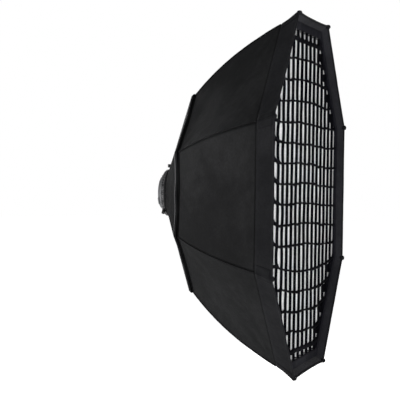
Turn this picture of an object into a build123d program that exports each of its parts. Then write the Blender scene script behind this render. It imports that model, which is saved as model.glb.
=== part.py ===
"""Octabox: an eight-sided fabric softbox on a sprung frame, with a bayonet speed ring, two diffusers and a fabric grid.

Millimetres. +X is the optical axis and points to the front, +Z is up, and x = 0 is the face that seats on the lamp.
Sections are drawn as (x, radius): a radius is measured to a corner of the octagon, an apothem to the middle of a side.
"""

import os
from math import cos, radians, sin, sqrt

from build123d import *

os.makedirs("parts", exist_ok=True)

# Octagon
SIDES = 8
SIDE_ANGLE = 360 / SIDES
HALF_ANGLE = SIDE_ANGLE / 2
TO_APOTHEM = cos(radians(HALF_ANGLE))
MITRE_GAP = 0.4  # between neighbouring panels that share a node

# Fabric shell: the ridge over each rod is one arc from the rear opening to the front fold
REAR_X, REAR_R = 124.0, 332.0
FOLD_X, FOLD_R = 424.0, 563.0
RIDGE_RISE = 19.0  # rise of the ridge's arc over its chord
SHELL_THICK = 1.2
SHELL_HEM_R = 1.8

# Lip in front of the fold, and what it holds
LIP_X, LIP_R = 483.0, 600.0
LIP_THICK = 2.4
LIP_ROLL_R = 2.6
TAPE_THICK, TAPE_LENGTH = 1.2, 40.0
PATCH_THICK, PATCH_REACH = 1.2, 26.0

# Bayonet insert
BORE_R = 49.0
NECK_R, NECK_LENGTH = 52.0, 13.0
LUG_R, LUG_THICK, LUG_ANGLE, LUGS = 56.5, 3.0, 24.0, 3
SEAT_INNER_R, SEAT_R, FLANGE_THICK = 60.0, 72.0, 4.0
LOCK_HOLE_R, LOCK_HOLE_AT_R = 2.6, 66.0
HUB_R, HUB_X = 58.0, 22.0
RUNNING_GAP = 0.1

# Ring that keeps the speed ring on the hub, and its screws
RETAINER_X0, RETAINER_X1, RETAINER_R0, RETAINER_R1 = 22.0, 24.6, 50.0, 63.0
RETAINER_SCREWS, RETAINER_SCREW_R, RETAINER_SCREW_AT_R, RETAINER_SCREW_LENGTH = 4, 1.5, 53.6, 8.0
RETAINER_HEAD_R = 2.9

# Speed ring that turns on the insert
RING_X0, RING_X1, RING_R = 5.4, 28.0, 76.0
RING_RECESS_X, RING_RECESS_R = 21.8, 64.5
SCREW_X, SCREW_R = 9.5, 3.0
SCREW_ANGLES = (0.0, 135.0, 225.0)
KNOB_R, KNOB_LENGTH, KNOB_FROM_R = 5.8, 11.0, 81.0

# Frame: straight arms from the ring, a knuckle, then a sprung rod to each front corner
ARM_R, ARM_START = 4.0, (26.0, 72.0)
BOSS_R, BOSS_BACK, BOSS_FRONT = 7.0, 4.0, 24.0
ROD_R, ROD_INSET, ROD_END_X = 2.5, 6.5, 413.0
KNUCKLE_BACK = 14.0  # from the shell's rear edge to the middle of the knuckle
KNUCKLE_R, FERRULE_LENGTH = 6.4, 18.0
SOCKET_GAP = 0.15
CAP_R, CAP_BACK, CAP_FRONT = 4.4, 16.0, 5.0

# Rear cover: a shallow cone from the ring to a free hem
COVER_X0, COVER_R0 = 20.8, 86.2
COVER_X1, COVER_R1 = 116.4, 329.5
COVER_THICK = 1.2
COVER_HEM_LENGTH, COVER_HEM_THICK, COVER_HEM_SLOPE = 12.0, 1.6, 36.0
COLLAR_X0, COLLAR_X1, COLLAR_R0, COLLAR_R1 = 13.4, 19.2, 76.3, 78.6

# Inner baffle
BAFFLE_X, BAFFLE_R, SHEET_THICK = 261.6, 425.0, 1.2
BAFFLE_HEM_WIDTH, BAFFLE_HEM_THICK = 6.0, 3.4
STRAP_WIDTH, STRAP_THICK, STRAP_END_R = 14.0, 2.0, 446.6
SNAP_R, SNAP_THICK = 5.0, 2.4
LOOP_R, LOOP_LENGTH = 4.2, 14.0

# Front diffuser
DIFFUSER_X, DIFFUSER_R = 424.0, 556.0
DIFFUSER_HEM_WIDTH, DIFFUSER_HEM_THICK = 26.0, 1.8

# Grid
GRID_X0, GRID_X1 = 426.4, 462.0
GRID_PITCH, GRID_UPRIGHTS, GRID_CROSS_STRIPS, STRIP_THICK = 64.3, 15, 16, 1.4
GRID_APOTHEM = 512.6
BORDER_OUTER_APOTHEM, BORDER_THICK = 536.5, 2.2

FAR = 1000.0  # longer than any cut or any side


def meridian(angle, shift=0.0):
    """Plane through the optical axis: local x runs forward and local y runs outward, at this angle from +Z towards -Y.
    shift moves the plane sideways, towards larger angles."""
    a = radians(angle)
    sideways = Vector(0, -cos(a), -sin(a))
    return Plane(origin=sideways * shift, x_dir=(1, 0, 0), z_dir=sideways)


def at(angle, x, radius):
    """The point at this (x, radius) in the meridian plane at this angle."""
    return meridian(angle).from_local_coords(Vector(x, radius, 0))


def pair(vector):
    """The (x, radius) of a vector drawn in a section."""
    return vector.X, vector.Y


def towards(angle, direction):
    """A direction given as (x, radius), turned into the meridian plane at this angle."""
    return at(angle, *direction) - at(angle, 0, 0)


def corner_angles():
    """The eight angles of the octagon's corners."""
    return [HALF_ANGLE + SIDE_ANGLE * n for n in range(SIDES)]


def save(part, name):
    part.label = name
    export_step(part, f"parts/{name}.step")


def side_of_octagon(outline, gap=0.0):
    """The top side of an octagonal ring: an (x, apothem) outline drawn out sideways and mitred at both corners."""
    with BuildPart() as side:
        with BuildSketch(meridian(0)):
            add(outline)
        extrude(amount=FAR / 2, both=True)
        split(bisect_by=meridian(HALF_ANGLE, -gap / 2), keep=Keep.BOTTOM)
        split(bisect_by=meridian(-HALF_ANGLE, gap / 2), keep=Keep.TOP)
    return side.part


def eight_sides(outline):
    """A ring of eight separate mitred panels."""
    side = side_of_octagon(outline, MITRE_GAP)
    with BuildPart() as ring:
        for n in range(SIDES):
            add(side.rotate(Axis.X, SIDE_ANGLE * n))
    return ring.part


def eight_copies(piece):
    """Eight copies of a piece that was made at the first corner."""
    with BuildPart() as copies:
        for n in range(SIDES):
            add(piece.rotate(Axis.X, SIDE_ANGLE * n))
    return copies.part


def strip_outline(start, end, thick):
    """Outline of a straight strip between two (x, apothem) points."""
    with BuildSketch() as outline:
        with BuildLine() as middle:
            Line(start, end)
        trace(line_width=thick)
    return outline.sketch


def rectangle_outline(x0, x1, y0, y1):
    """Outline of an upright rectangle between two x values and two apothems."""
    with BuildSketch() as outline:
        with Locations(((x0 + x1) / 2, (y0 + y1) / 2)):
            Rectangle(x1 - x0, y1 - y0)
    return outline.sketch


def octagon_plate(x0, x1, corner_r):
    """A flat octagonal sheet with its corners over the rods."""
    with BuildPart() as plate:
        with BuildSketch(Plane.YZ.offset(x0)):
            RegularPolygon(corner_r, SIDES, rotation=HALF_ANGLE)
        extrude(amount=x1 - x0)
    return plate.part


# The ridge arc, and the rod's arc inside it, share one centre
chord = Vector(FOLD_X - REAR_X, FOLD_R - REAR_R)
chord_way = chord.normalized()
inward = Vector(chord_way.Y, -chord_way.X)
ridge_radius = chord.length**2 / (8 * RIDGE_RISE) + RIDGE_RISE / 2
ridge_middle = Vector((FOLD_X + REAR_X) / 2, (FOLD_R + REAR_R) / 2) - inward * RIDGE_RISE
ridge_centre = ridge_middle + inward * ridge_radius


def ridge_at(x, inset=0.0):
    """Radius of the ridge at x, or of the line that runs inset inside it."""
    return ridge_centre.Y + sqrt((ridge_radius - inset) ** 2 - (x - ridge_centre.X) ** 2)


def ridge_way(x, inset=0.0):
    """Unit (x, radius) direction of that line at x, towards the front."""
    from_centre = Vector(x - ridge_centre.X, ridge_at(x, inset) - ridge_centre.Y).normalized()
    return Vector(from_centre.Y, -from_centre.X)


# The rod leaves the knuckle along the arc's tangent
rear_from_centre = (Vector(REAR_X, REAR_R) - ridge_centre).normalized()
rod_start = ridge_centre + rear_from_centre * (ridge_radius - ROD_INSET)
rod_way = ridge_way(rod_start.X, ROD_INSET)
knuckle = rod_start - rod_way * KNUCKLE_BACK
arm_way = (knuckle - Vector(*ARM_START)).normalized()


def make_insert():
    """Neck with lugs, seat flange and the hub that the speed ring turns on."""
    with BuildPart() as insert:
        with BuildSketch(meridian(0)):
            with BuildLine():
                Polyline(
                    (-NECK_LENGTH, BORE_R),
                    (-NECK_LENGTH, NECK_R),
                    (0.6, NECK_R),
                    (0.6, SEAT_INNER_R),
                    (0, SEAT_INNER_R),
                    (0, SEAT_R),
                    (FLANGE_THICK, SEAT_R),
                    (FLANGE_THICK, HUB_R),
                    (HUB_X, HUB_R),
                    (HUB_X, BORE_R),
                    close=True,
                )
            make_face()
        revolve(axis=Axis.X)
        for n in range(LUGS):
            with BuildSketch(Plane.YZ.offset(-NECK_LENGTH)):
                sector = LUG_ANGLE / 2
                middle = 90 + 360 / LUGS * n
                with BuildLine():
                    start = PolarLine((0, 0), LUG_R, angle=middle - sector)
                    arc = CenterArc((0, 0), LUG_R, middle - sector, LUG_ANGLE)
                    Line(arc @ 1, (0, 0))
                make_face()
                Circle(NECK_R - 1, mode=Mode.SUBTRACT)
            extrude(amount=LUG_THICK)
        with Locations(Plane.YZ.offset(FLANGE_THICK / 2)):
            with Locations((0, -LOCK_HOLE_AT_R)):
                Cylinder(LOCK_HOLE_R, FLANGE_THICK + 1, mode=Mode.SUBTRACT)
        with Locations(Plane.YZ.offset(HUB_X)):
            with PolarLocations(RETAINER_SCREW_AT_R, RETAINER_SCREWS, start_angle=SIDE_ANGLE):
                Hole(RETAINER_SCREW_R + 0.05, depth=RETAINER_SCREW_LENGTH)
        outer_edges = insert.edges().filter_by(GeomType.CIRCLE).filter_by(lambda e: abs(e.radius - SEAT_R) < 0.1)
        chamfer(outer_edges, 0.8)
    return insert.part


# Retaining ring and its countersunk screws


def make_retainer():
    """Flat ring that keeps the speed ring on the hub."""
    with BuildPart() as retainer:
        with BuildSketch(Plane.YZ.offset(RETAINER_X0)):
            Circle(RETAINER_R1)
            Circle(RETAINER_R0, mode=Mode.SUBTRACT)
        extrude(amount=RETAINER_X1 - RETAINER_X0)
        with Locations(Plane.YZ.offset(RETAINER_X1)):
            with PolarLocations(RETAINER_SCREW_AT_R, RETAINER_SCREWS, start_angle=SIDE_ANGLE):
                CounterSinkHole(RETAINER_SCREW_R + 0.05, RETAINER_HEAD_R + 0.1, counter_sink_angle=90)
    return retainer.part


def make_retainer_screws():
    """Four countersunk screws with a cross slot."""
    cone = RETAINER_HEAD_R - RETAINER_SCREW_R
    with BuildPart() as screws:
        with Locations(Plane.YZ.offset(RETAINER_X1)):
            with PolarLocations(RETAINER_SCREW_AT_R, RETAINER_SCREWS, start_angle=SIDE_ANGLE):
                Cylinder(RETAINER_SCREW_R, RETAINER_SCREW_LENGTH, align=(Align.CENTER, Align.CENTER, Align.MAX))
                Cone(RETAINER_SCREW_R, RETAINER_HEAD_R, cone, align=(Align.CENTER, Align.CENTER, Align.MAX))
                Box(0.7, RETAINER_HEAD_R * 1.3, 0.8, align=(Align.CENTER, Align.CENTER, Align.MAX), mode=Mode.SUBTRACT)
                Box(RETAINER_HEAD_R * 1.3, 0.7, 0.8, align=(Align.CENTER, Align.CENTER, Align.MAX), mode=Mode.SUBTRACT)
    return screws.part


def make_glide_washer():
    """Nylon washer between the insert's flange and the speed ring."""
    with BuildPart() as washer:
        with BuildSketch(Plane.YZ.offset(FLANGE_THICK)):
            Circle(SEAT_R - 2)
            Circle(HUB_R + 0.3, mode=Mode.SUBTRACT)
        extrude(amount=1.1)
    return washer.part


def make_speed_ring():
    """Ring with eight angled sockets for the arms and three threaded holes for the clamp screws."""
    with BuildPart() as ring:
        with BuildSketch(meridian(0)):
            with BuildLine():
                Polyline(
                    (RING_X0, HUB_R + RUNNING_GAP),
                    (RING_X0, RING_R),
                    (RING_X1, RING_R),
                    (RING_X1, RING_RECESS_R),
                    (RING_RECESS_X, RING_RECESS_R),
                    (RING_RECESS_X, HUB_R + RUNNING_GAP),
                    close=True,
                )
            make_face()
        revolve(axis=Axis.X)
        for angle in corner_angles():
            way = towards(angle, pair(arm_way))
            foot = at(angle, *ARM_START)
            with BuildSketch(Plane(origin=foot - way * BOSS_BACK, z_dir=way)):
                Circle(BOSS_R)
            extrude(amount=BOSS_BACK + BOSS_FRONT)
        for angle in corner_angles():
            way = towards(angle, pair(arm_way))
            with BuildSketch(Plane(origin=at(angle, *ARM_START), z_dir=way)):
                Circle(ARM_R + SOCKET_GAP)
            extrude(amount=BOSS_FRONT + 1, mode=Mode.SUBTRACT)
        for angle in SCREW_ANGLES:
            with BuildSketch(Plane(origin=at(angle, SCREW_X, HUB_R - 1), z_dir=towards(angle, (0, 1)))):
                Circle(SCREW_R + RUNNING_GAP)
            extrude(amount=RING_R - HUB_R + 2, mode=Mode.SUBTRACT)
    return ring.part


def make_shank(angle):
    """Clamp screw's shank, its tip just off the hub."""
    with BuildPart() as shank:
        with BuildSketch(Plane(origin=at(angle, SCREW_X, HUB_R + 0.3), z_dir=towards(angle, (0, 1)))):
            Circle(SCREW_R)
        extrude(amount=KNOB_FROM_R + KNOB_LENGTH - 2 - HUB_R - 0.3)
        chamfer(shank.edges().filter_by(GeomType.CIRCLE), 0.5)
    return shank.part


def make_knob(angle):
    """Clamp screw's fluted knob."""
    flutes = 8
    with BuildPart() as knob:
        with BuildSketch(Plane(origin=at(angle, SCREW_X, KNOB_FROM_R), z_dir=towards(angle, (0, 1)))):
            Circle(KNOB_R)
            with PolarLocations(KNOB_R + 0.7, flutes):
                Circle(1.4, mode=Mode.SUBTRACT)
        extrude(amount=KNOB_LENGTH)
        with BuildSketch(Plane(origin=at(angle, SCREW_X, KNOB_FROM_R), z_dir=towards(angle, (0, 1)))):
            Circle(SCREW_R + 0.1)
        extrude(amount=KNOB_LENGTH - 1.9, mode=Mode.SUBTRACT)
    return knob.part


def make_arm(angle):
    """Straight steel tube from its socket to the knuckle."""
    way = towards(angle, pair(arm_way))
    foot = at(angle, *ARM_START) + way * 0.3
    length = (knuckle - Vector(*ARM_START)).length - 3.0
    with BuildPart() as arm:
        with BuildSketch(Plane(origin=foot, z_dir=way)):
            Circle(ARM_R)
            Circle(ARM_R - 1, mode=Mode.SUBTRACT)
        extrude(amount=length)
    return arm.part


def make_knuckle():
    """Bent ferrule that joins the first arm to its rod."""
    angle = HALF_ANGLE
    middle = at(angle, knuckle.X, knuckle.Y)
    back_way = towards(angle, pair(-arm_way))
    front_way = towards(angle, pair(rod_way))
    with BuildPart() as joint:
        with Locations(middle):
            Sphere(KNUCKLE_R)
        with BuildSketch(Plane(origin=middle, z_dir=back_way)):
            Circle(KNUCKLE_R - 0.6)
        extrude(amount=FERRULE_LENGTH)
        with BuildSketch(Plane(origin=middle, z_dir=front_way)):
            Circle(ROD_R + 1.8)
        extrude(amount=FERRULE_LENGTH)
        with BuildSketch(Plane(origin=middle + back_way * 2.5, z_dir=back_way)):
            Circle(ARM_R + SOCKET_GAP)
        extrude(amount=FERRULE_LENGTH, mode=Mode.SUBTRACT)
        with BuildSketch(Plane(origin=middle + front_way * 4, z_dir=front_way)):
            Circle(ROD_R + 2 * SOCKET_GAP)
        extrude(amount=FERRULE_LENGTH, mode=Mode.SUBTRACT)
    return joint.part


def make_rod(angle):
    """Sprung steel rod: a short straight end in the knuckle, then the arc under the ridge."""
    with BuildPart() as rod:
        with BuildLine(meridian(angle)) as path:
            tail = Line(pair(knuckle + rod_way * 4.5), pair(rod_start))
            TangentArc(tail @ 1, (ROD_END_X, ridge_at(ROD_END_X, ROD_INSET)), tangent=tail % 1)
        with BuildSketch(Plane(origin=path.line @ 0, z_dir=path.line % 0)):
            Circle(ROD_R)
        sweep(path=path.line)
    return rod.part


def make_cap():
    """Vinyl cap on the front end of the first rod."""
    angle = HALF_ANGLE
    way = towards(angle, pair(ridge_way(ROD_END_X, ROD_INSET)))
    end = at(angle, ROD_END_X, ridge_at(ROD_END_X, ROD_INSET))
    with BuildPart() as cap:
        with BuildSketch(Plane(origin=end - way * CAP_BACK, z_dir=way)):
            Circle(CAP_R)
        extrude(amount=CAP_BACK + CAP_FRONT)
        fillet(cap.edges().filter_by(GeomType.CIRCLE).sort_by(Axis.X)[-1], 2.0)
        with BuildSketch(Plane(origin=end - way * (CAP_BACK + 1), z_dir=way)):
            Circle(ROD_R + 2 * SOCKET_GAP)
        extrude(amount=CAP_BACK + 1.2, mode=Mode.SUBTRACT)
    return cap.part


def make_rod_loop():
    """Webbing loop round the first rod, where the baffle's strap snaps on."""
    angle = HALF_ANGLE
    way = towards(angle, pair(ridge_way(BAFFLE_X, ROD_INSET)))
    middle = at(angle, BAFFLE_X, ridge_at(BAFFLE_X, ROD_INSET))
    with BuildPart() as loop:
        with BuildSketch(Plane(origin=middle - way * LOOP_LENGTH / 2, z_dir=way)):
            Circle(LOOP_R)
            Circle(ROD_R + SOCKET_GAP, mode=Mode.SUBTRACT)
        extrude(amount=LOOP_LENGTH)
    return loop.part


def make_cover_loop():
    """Elastic loop round the first arm that holds the rear cover's corner down."""
    angle = HALF_ANGLE
    way = towards(angle, pair(arm_way))
    middle = at(angle, *pair(knuckle - arm_way * 30))
    with BuildPart() as loop:
        with BuildSketch(Plane(origin=middle - way * 6, z_dir=way)):
            Circle(ARM_R + 1.4)
            Circle(ARM_R + SOCKET_GAP, mode=Mode.SUBTRACT)
        extrude(amount=12)
    return loop.part


def shell_outline():
    """Section of a shell panel at its middle: the ridge arc brought in to the apothem."""
    with BuildSketch() as outline:
        with BuildLine():
            ThreePointArc(
                (REAR_X, REAR_R * TO_APOTHEM),
                (ridge_middle.X, ridge_middle.Y * TO_APOTHEM),
                (FOLD_X, FOLD_R * TO_APOTHEM),
            )
        trace(line_width=SHELL_THICK)
    return outline.sketch


def make_seam_piping():
    """Piping along the first ridge, just outside the shell."""
    angle = HALF_ANGLE
    outset = -2.4
    with BuildPart() as piping:
        with BuildLine(meridian(angle)) as path:
            ThreePointArc(*[(x, ridge_at(x, outset)) for x in (REAR_X + 8, ridge_middle.X, FOLD_X - 4)])
        with BuildSketch(Plane(origin=path.line @ 0, z_dir=path.line % 0)):
            Circle(1.4)
        sweep(path=path.line)
    return piping.part


lip_start = Vector(FOLD_X, FOLD_R * TO_APOTHEM)
lip_end = Vector(LIP_X, LIP_R * TO_APOTHEM)
lip_way = (lip_end - lip_start).normalized()
lip_inward = Vector(lip_way.Y, -lip_way.X)


def lip_strip(start, end, depth, thick):
    """Strip beside the lip, between two distances along it, its middle this deep inside the lip's own middle."""
    a = lip_start + lip_way * start + lip_inward * depth
    b = lip_start + lip_way * end + lip_inward * depth
    return strip_outline(pair(a), pair(b), thick)


lip_length = (lip_end - lip_start).length


def make_lip():
    """The lip's eight walls, each with a rolled front edge."""
    with BuildSketch() as outline:
        add(lip_strip(SHELL_THICK, lip_length - LIP_ROLL_R, 0, LIP_THICK))
        with Locations(pair(lip_end - lip_way * LIP_ROLL_R)):
            Circle(LIP_ROLL_R)
    return eight_sides(outline.sketch)


def make_corner_patches():
    """Webbing patches over the lip's corners, where the rods push."""
    depth = -(LIP_THICK + PATCH_THICK) / 2 - 0.1
    side = side_of_octagon(lip_strip(2, lip_length - 6, depth, PATCH_THICK), MITRE_GAP)
    middle_length = 2 * (FOLD_R * sin(radians(HALF_ANGLE)) - PATCH_REACH)
    with BuildPart() as ends:
        add(side)
        with Locations((LIP_X, 0, lip_end.Y)):
            Box(FAR / 2, middle_length, FAR / 2, mode=Mode.SUBTRACT)
    return eight_copies(ends.part)


cover_start = Vector(COVER_X0, COVER_R0 * TO_APOTHEM)
cover_end = Vector(COVER_X1, COVER_R1 * TO_APOTHEM)
cover_way = (cover_end - cover_start).normalized()


def make_cover_hem():
    """Bound edge of the rear cover, turned forward over the gap behind the shell."""
    start = cover_end + cover_way * (COVER_HEM_THICK / 2 + 0.5)
    end = start + Vector(cos(radians(COVER_HEM_SLOPE)), sin(radians(COVER_HEM_SLOPE))) * COVER_HEM_LENGTH
    return eight_sides(strip_outline(pair(start), pair(end), COVER_HEM_THICK))


def make_collar():
    """Elastic collar that grips the speed ring and carries the cover's inner edge."""
    with BuildPart() as collar:
        with BuildSketch(Plane.YZ.offset(COLLAR_X0)):
            Circle(COLLAR_R1)
            Circle(COLLAR_R0, mode=Mode.SUBTRACT)
        extrude(amount=COLLAR_X1 - COLLAR_X0)
    return collar.part


def make_shell_hem():
    """Rolled binding round the shell's rear opening."""
    with BuildSketch() as outline:
        with Locations((REAR_X - SHELL_HEM_R - 0.1, REAR_R * TO_APOTHEM - SHELL_HEM_R)):
            Circle(SHELL_HEM_R)
    return eight_sides(outline.sketch)


def make_strap():
    """Elastic strap from the baffle's first corner towards the rod."""
    angle = HALF_ANGLE
    start_r = (BAFFLE_R * TO_APOTHEM + BAFFLE_HEM_WIDTH) / TO_APOTHEM + 0.6
    with BuildPart() as strap:
        with BuildSketch(Plane(origin=at(angle, BAFFLE_X, start_r), x_dir=(1, 0, 0), z_dir=towards(angle, (0, 1)))):
            Rectangle(STRAP_THICK, STRAP_WIDTH)
        extrude(amount=STRAP_END_R - start_r)
    return strap.part


def make_snap():
    """Press stud on the front of the first strap."""
    with BuildPart() as snap:
        with BuildSketch(Plane(origin=at(HALF_ANGLE, BAFFLE_X + STRAP_THICK / 2, STRAP_END_R - SNAP_R - 1), z_dir=(1, 0, 0))):
            Circle(SNAP_R)
        extrude(amount=SNAP_THICK)
        fillet(snap.faces().sort_by(Axis.X)[-1].edges(), 1.0)
    return snap.part


def make_grid_lattice():
    """Crossing strips, cut to the octagonal opening of the border."""
    length = 2 * GRID_APOTHEM
    with BuildPart() as lattice:
        with BuildSketch(Plane.YZ.offset(GRID_X0)):
            with GridLocations(GRID_PITCH, 0, GRID_UPRIGHTS, 1):
                Rectangle(STRIP_THICK, length)
            with GridLocations(0, GRID_PITCH, 1, GRID_CROSS_STRIPS):
                Rectangle(length, STRIP_THICK)
            RegularPolygon(GRID_APOTHEM / TO_APOTHEM, SIDES, rotation=HALF_ANGLE, mode=Mode.INTERSECT)
        extrude(amount=GRID_X1 - GRID_X0)
    return lattice.part


def make_grid_border():
    """Front flange and skirt that the strips are sewn to."""
    inner = GRID_APOTHEM + 0.2
    with BuildSketch() as outline:
        add(rectangle_outline(GRID_X1 - BORDER_THICK, GRID_X1, inner, BORDER_OUTER_APOTHEM))
        add(rectangle_outline(GRID_X0 + 1, GRID_X1, inner, inner + BORDER_THICK))
    return eight_sides(outline.sketch)


# Mount and ring
save(make_insert(), "bayonet_insert")
save(make_retainer(), "retaining_ring")
save(make_retainer_screws(), "retaining_screws")
save(make_glide_washer(), "glide_washer")
save(make_speed_ring(), "speed_ring")
for n, screw_angle in enumerate(SCREW_ANGLES, 1):
    save(make_shank(screw_angle), f"clamp_screw_{n}")
    save(make_knob(screw_angle), f"clamp_knob_{n}")

# Frame
for n, corner in enumerate(corner_angles(), 1):
    save(make_arm(corner), f"frame_arm_{n}")
    save(make_rod(corner), f"spring_rod_{n}")
save(eight_copies(make_knuckle()), "rod_knuckles")
save(eight_copies(make_cap()), "rod_caps")
save(eight_copies(make_rod_loop()), "rod_loops")

# Shell and lip
shell_side = side_of_octagon(shell_outline())
for n in range(SIDES):
    save(shell_side.rotate(Axis.X, SIDE_ANGLE * n), f"shell_panel_{n + 1}")
save(make_shell_hem(), "shell_rear_hem")
save(eight_copies(make_seam_piping()), "seam_piping")
save(make_lip(), "front_lip")
tape_depth = (LIP_THICK + TAPE_THICK) / 2 + 0.05
tape_end = lip_length - 2 * LIP_ROLL_R - 3
save(eight_sides(lip_strip(tape_end - TAPE_LENGTH, tape_end, tape_depth, TAPE_THICK)), "lip_loop_tape")
save(make_corner_patches(), "corner_patches")

# Rear cover
save(eight_sides(strip_outline(pair(cover_start), pair(cover_end), COVER_THICK)), "rear_cover")
save(make_cover_hem(), "rear_cover_hem")
save(make_collar(), "cover_collar")
save(eight_copies(make_cover_loop()), "cover_loops")

# Inner baffle
baffle_apothem = BAFFLE_R * TO_APOTHEM
save(octagon_plate(BAFFLE_X - SHEET_THICK / 2, BAFFLE_X + SHEET_THICK / 2, BAFFLE_R), "inner_baffle")
baffle_hem = rectangle_outline(
    BAFFLE_X - BAFFLE_HEM_THICK / 2,
    BAFFLE_X + BAFFLE_HEM_THICK / 2,
    baffle_apothem + 0.1,
    baffle_apothem + BAFFLE_HEM_WIDTH,
)
save(eight_sides(baffle_hem), "baffle_hem")
save(eight_copies(make_strap()), "baffle_straps")
save(eight_copies(make_snap()), "baffle_snaps")

# Front diffuser
diffuser_apothem = DIFFUSER_R * TO_APOTHEM
save(octagon_plate(DIFFUSER_X - SHEET_THICK / 2, DIFFUSER_X + SHEET_THICK / 2, DIFFUSER_R), "front_diffuser")
diffuser_hem = rectangle_outline(
    DIFFUSER_X - SHEET_THICK / 2 - 0.1 - DIFFUSER_HEM_THICK,
    DIFFUSER_X - SHEET_THICK / 2 - 0.1,
    diffuser_apothem - DIFFUSER_HEM_WIDTH,
    diffuser_apothem,
)
save(eight_sides(diffuser_hem), "diffuser_hem")

# Grid
save(make_grid_lattice(), "grid_lattice")
save(make_grid_border(), "grid_border")
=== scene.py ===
import bpy
import math
from mathutils import Matrix, Vector, noise


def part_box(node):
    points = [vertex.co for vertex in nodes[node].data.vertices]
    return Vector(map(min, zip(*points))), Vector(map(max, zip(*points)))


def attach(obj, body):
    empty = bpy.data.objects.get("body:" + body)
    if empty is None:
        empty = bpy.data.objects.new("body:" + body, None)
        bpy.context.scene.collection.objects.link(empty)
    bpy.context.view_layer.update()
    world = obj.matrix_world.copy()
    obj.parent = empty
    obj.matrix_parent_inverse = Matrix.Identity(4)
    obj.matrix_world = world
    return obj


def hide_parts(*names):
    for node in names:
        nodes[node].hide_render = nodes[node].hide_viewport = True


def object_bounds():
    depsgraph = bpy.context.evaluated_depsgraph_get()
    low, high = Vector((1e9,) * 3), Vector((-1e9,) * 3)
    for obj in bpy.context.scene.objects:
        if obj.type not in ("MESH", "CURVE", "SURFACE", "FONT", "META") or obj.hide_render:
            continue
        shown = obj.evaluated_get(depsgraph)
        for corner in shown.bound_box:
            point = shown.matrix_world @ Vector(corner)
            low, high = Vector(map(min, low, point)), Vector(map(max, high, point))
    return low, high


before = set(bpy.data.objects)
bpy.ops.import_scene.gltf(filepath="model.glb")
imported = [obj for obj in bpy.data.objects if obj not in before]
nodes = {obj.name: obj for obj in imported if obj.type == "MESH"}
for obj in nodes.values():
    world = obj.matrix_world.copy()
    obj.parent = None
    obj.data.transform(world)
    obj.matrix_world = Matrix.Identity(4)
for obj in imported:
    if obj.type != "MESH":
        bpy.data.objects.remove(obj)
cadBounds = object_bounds()
print("frame loaded:", len(nodes), "nodes")

# the octagon and the lines every cloth piece follows, in metres, as (x, radius)
octagon = {"sides": 8, "half": math.pi / 8}
toFlat = math.cos(octagon["half"])  # corner radius to the middle of a side
toHalfSide = math.sin(octagon["half"])  # corner radius to half a side
flatToHalf = math.tan(octagon["half"])  # the middle's radius to half a side

frameLines = {
    "rear": (0.124, 0.332),
    "fold": (0.424, 0.563),
    "rise": 0.019,
    "lipFront": (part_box("front_lip")[1][0], 0.600),
    "rodInset": 0.0065,
    "drawnIn": 0.0028,
    "armStart": (0.026, 0.072),
    "knuckleBack": 0.014,
}


def cornerAngle(side):
    return (side + 0.5) * 2 * octagon["half"]


def spoke(angle, x, radius):
    return Vector((x, -radius * math.sin(angle), radius * math.cos(angle)))


def onSide(side, x, across, flatR):
    # a point laid out on the top side, turned round to its own side
    point = Vector((x, -across, flatR))
    point.rotate(Matrix.Rotation(side * 2 * octagon["half"], 3, "X"))
    return point


rear = Vector(frameLines["rear"])
fold = Vector(frameLines["fold"])
chord = fold - rear
chordWay = chord.normalized()
inward = Vector((chordWay.y, -chordWay.x))
ridgeRadius = chord.length_squared / (8 * frameLines["rise"]) + frameLines["rise"] / 2
ridgeCentre = (rear + fold) / 2 - inward * frameLines["rise"] + inward * ridgeRadius


def ridgeAt(x, inset=0.0):
    return ridgeCentre.y + math.sqrt((ridgeRadius - inset) ** 2 - (x - ridgeCentre.x) ** 2)


def ridgeWay(x, inset=0.0):
    out = (Vector((x, ridgeAt(x, inset))) - ridgeCentre).normalized()
    return Vector((out.y, -out.x))


rodStart = ridgeCentre + (rear - ridgeCentre).normalized() * (ridgeRadius - frameLines["rodInset"])
rodWay = ridgeWay(rodStart.x, frameLines["rodInset"])
knuckle = rodStart - rodWay * frameLines["knuckleBack"]
armWay = (knuckle - Vector(frameLines["armStart"])).normalized()


def ridgePoint(share):
    # share 0 at the rear opening, 1 at the fold, evenly along the arc; the cloth is drawn in onto the rods, most at
    # the rear, and meets the lip at the fold
    start, end = (math.atan2(p.y - ridgeCentre.y, p.x - ridgeCentre.x) for p in (rear, fold))
    turn = start + (end - start) * share
    drawn = ridgeRadius - frameLines["drawnIn"] * (1 - ease(0.75, 1.0, share)) * (1.25 - 0.5 * share)
    return ridgeCentre.x + drawn * math.cos(turn), ridgeCentre.y + drawn * math.sin(turn)


ridgeLength = ridgeRadius * 2 * math.asin(chord.length / 2 / ridgeRadius)


def ripple(x, y, seed, size):
    return noise.noise(Vector((x / size, y / size, seed * 7.31)))


def ease(low, high, value):
    t = max(0.0, min(1.0, (value - low) / (high - low)))
    return t * t * (3 - 2 * t)


# shared shader groups


def newGroup(name, settings, results):
    # a group with a vector and these settings going in, and these numbers coming out
    group = bpy.data.node_groups.new(name, "ShaderNodeTree")
    group.interface.new_socket("Vector", in_out="INPUT", socket_type="NodeSocketVector")
    for label, value in settings.items():
        group.interface.new_socket(label, in_out="INPUT", socket_type="NodeSocketFloat").default_value = value
    for label in results:
        group.interface.new_socket(label, in_out="OUTPUT", socket_type="NodeSocketFloat")
    return group, group.nodes.new("NodeGroupInput").outputs, group.nodes.new("NodeGroupOutput").inputs


def feed(tree, socket, value):
    # a number or a colour is set on the socket itself, anything else is linked to it
    if isinstance(value, (int, float)):
        socket.default_value = value
    elif isinstance(value, tuple):
        socket.default_value = (*value, 1.0)
    else:
        tree.links.new(value, socket)


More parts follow.
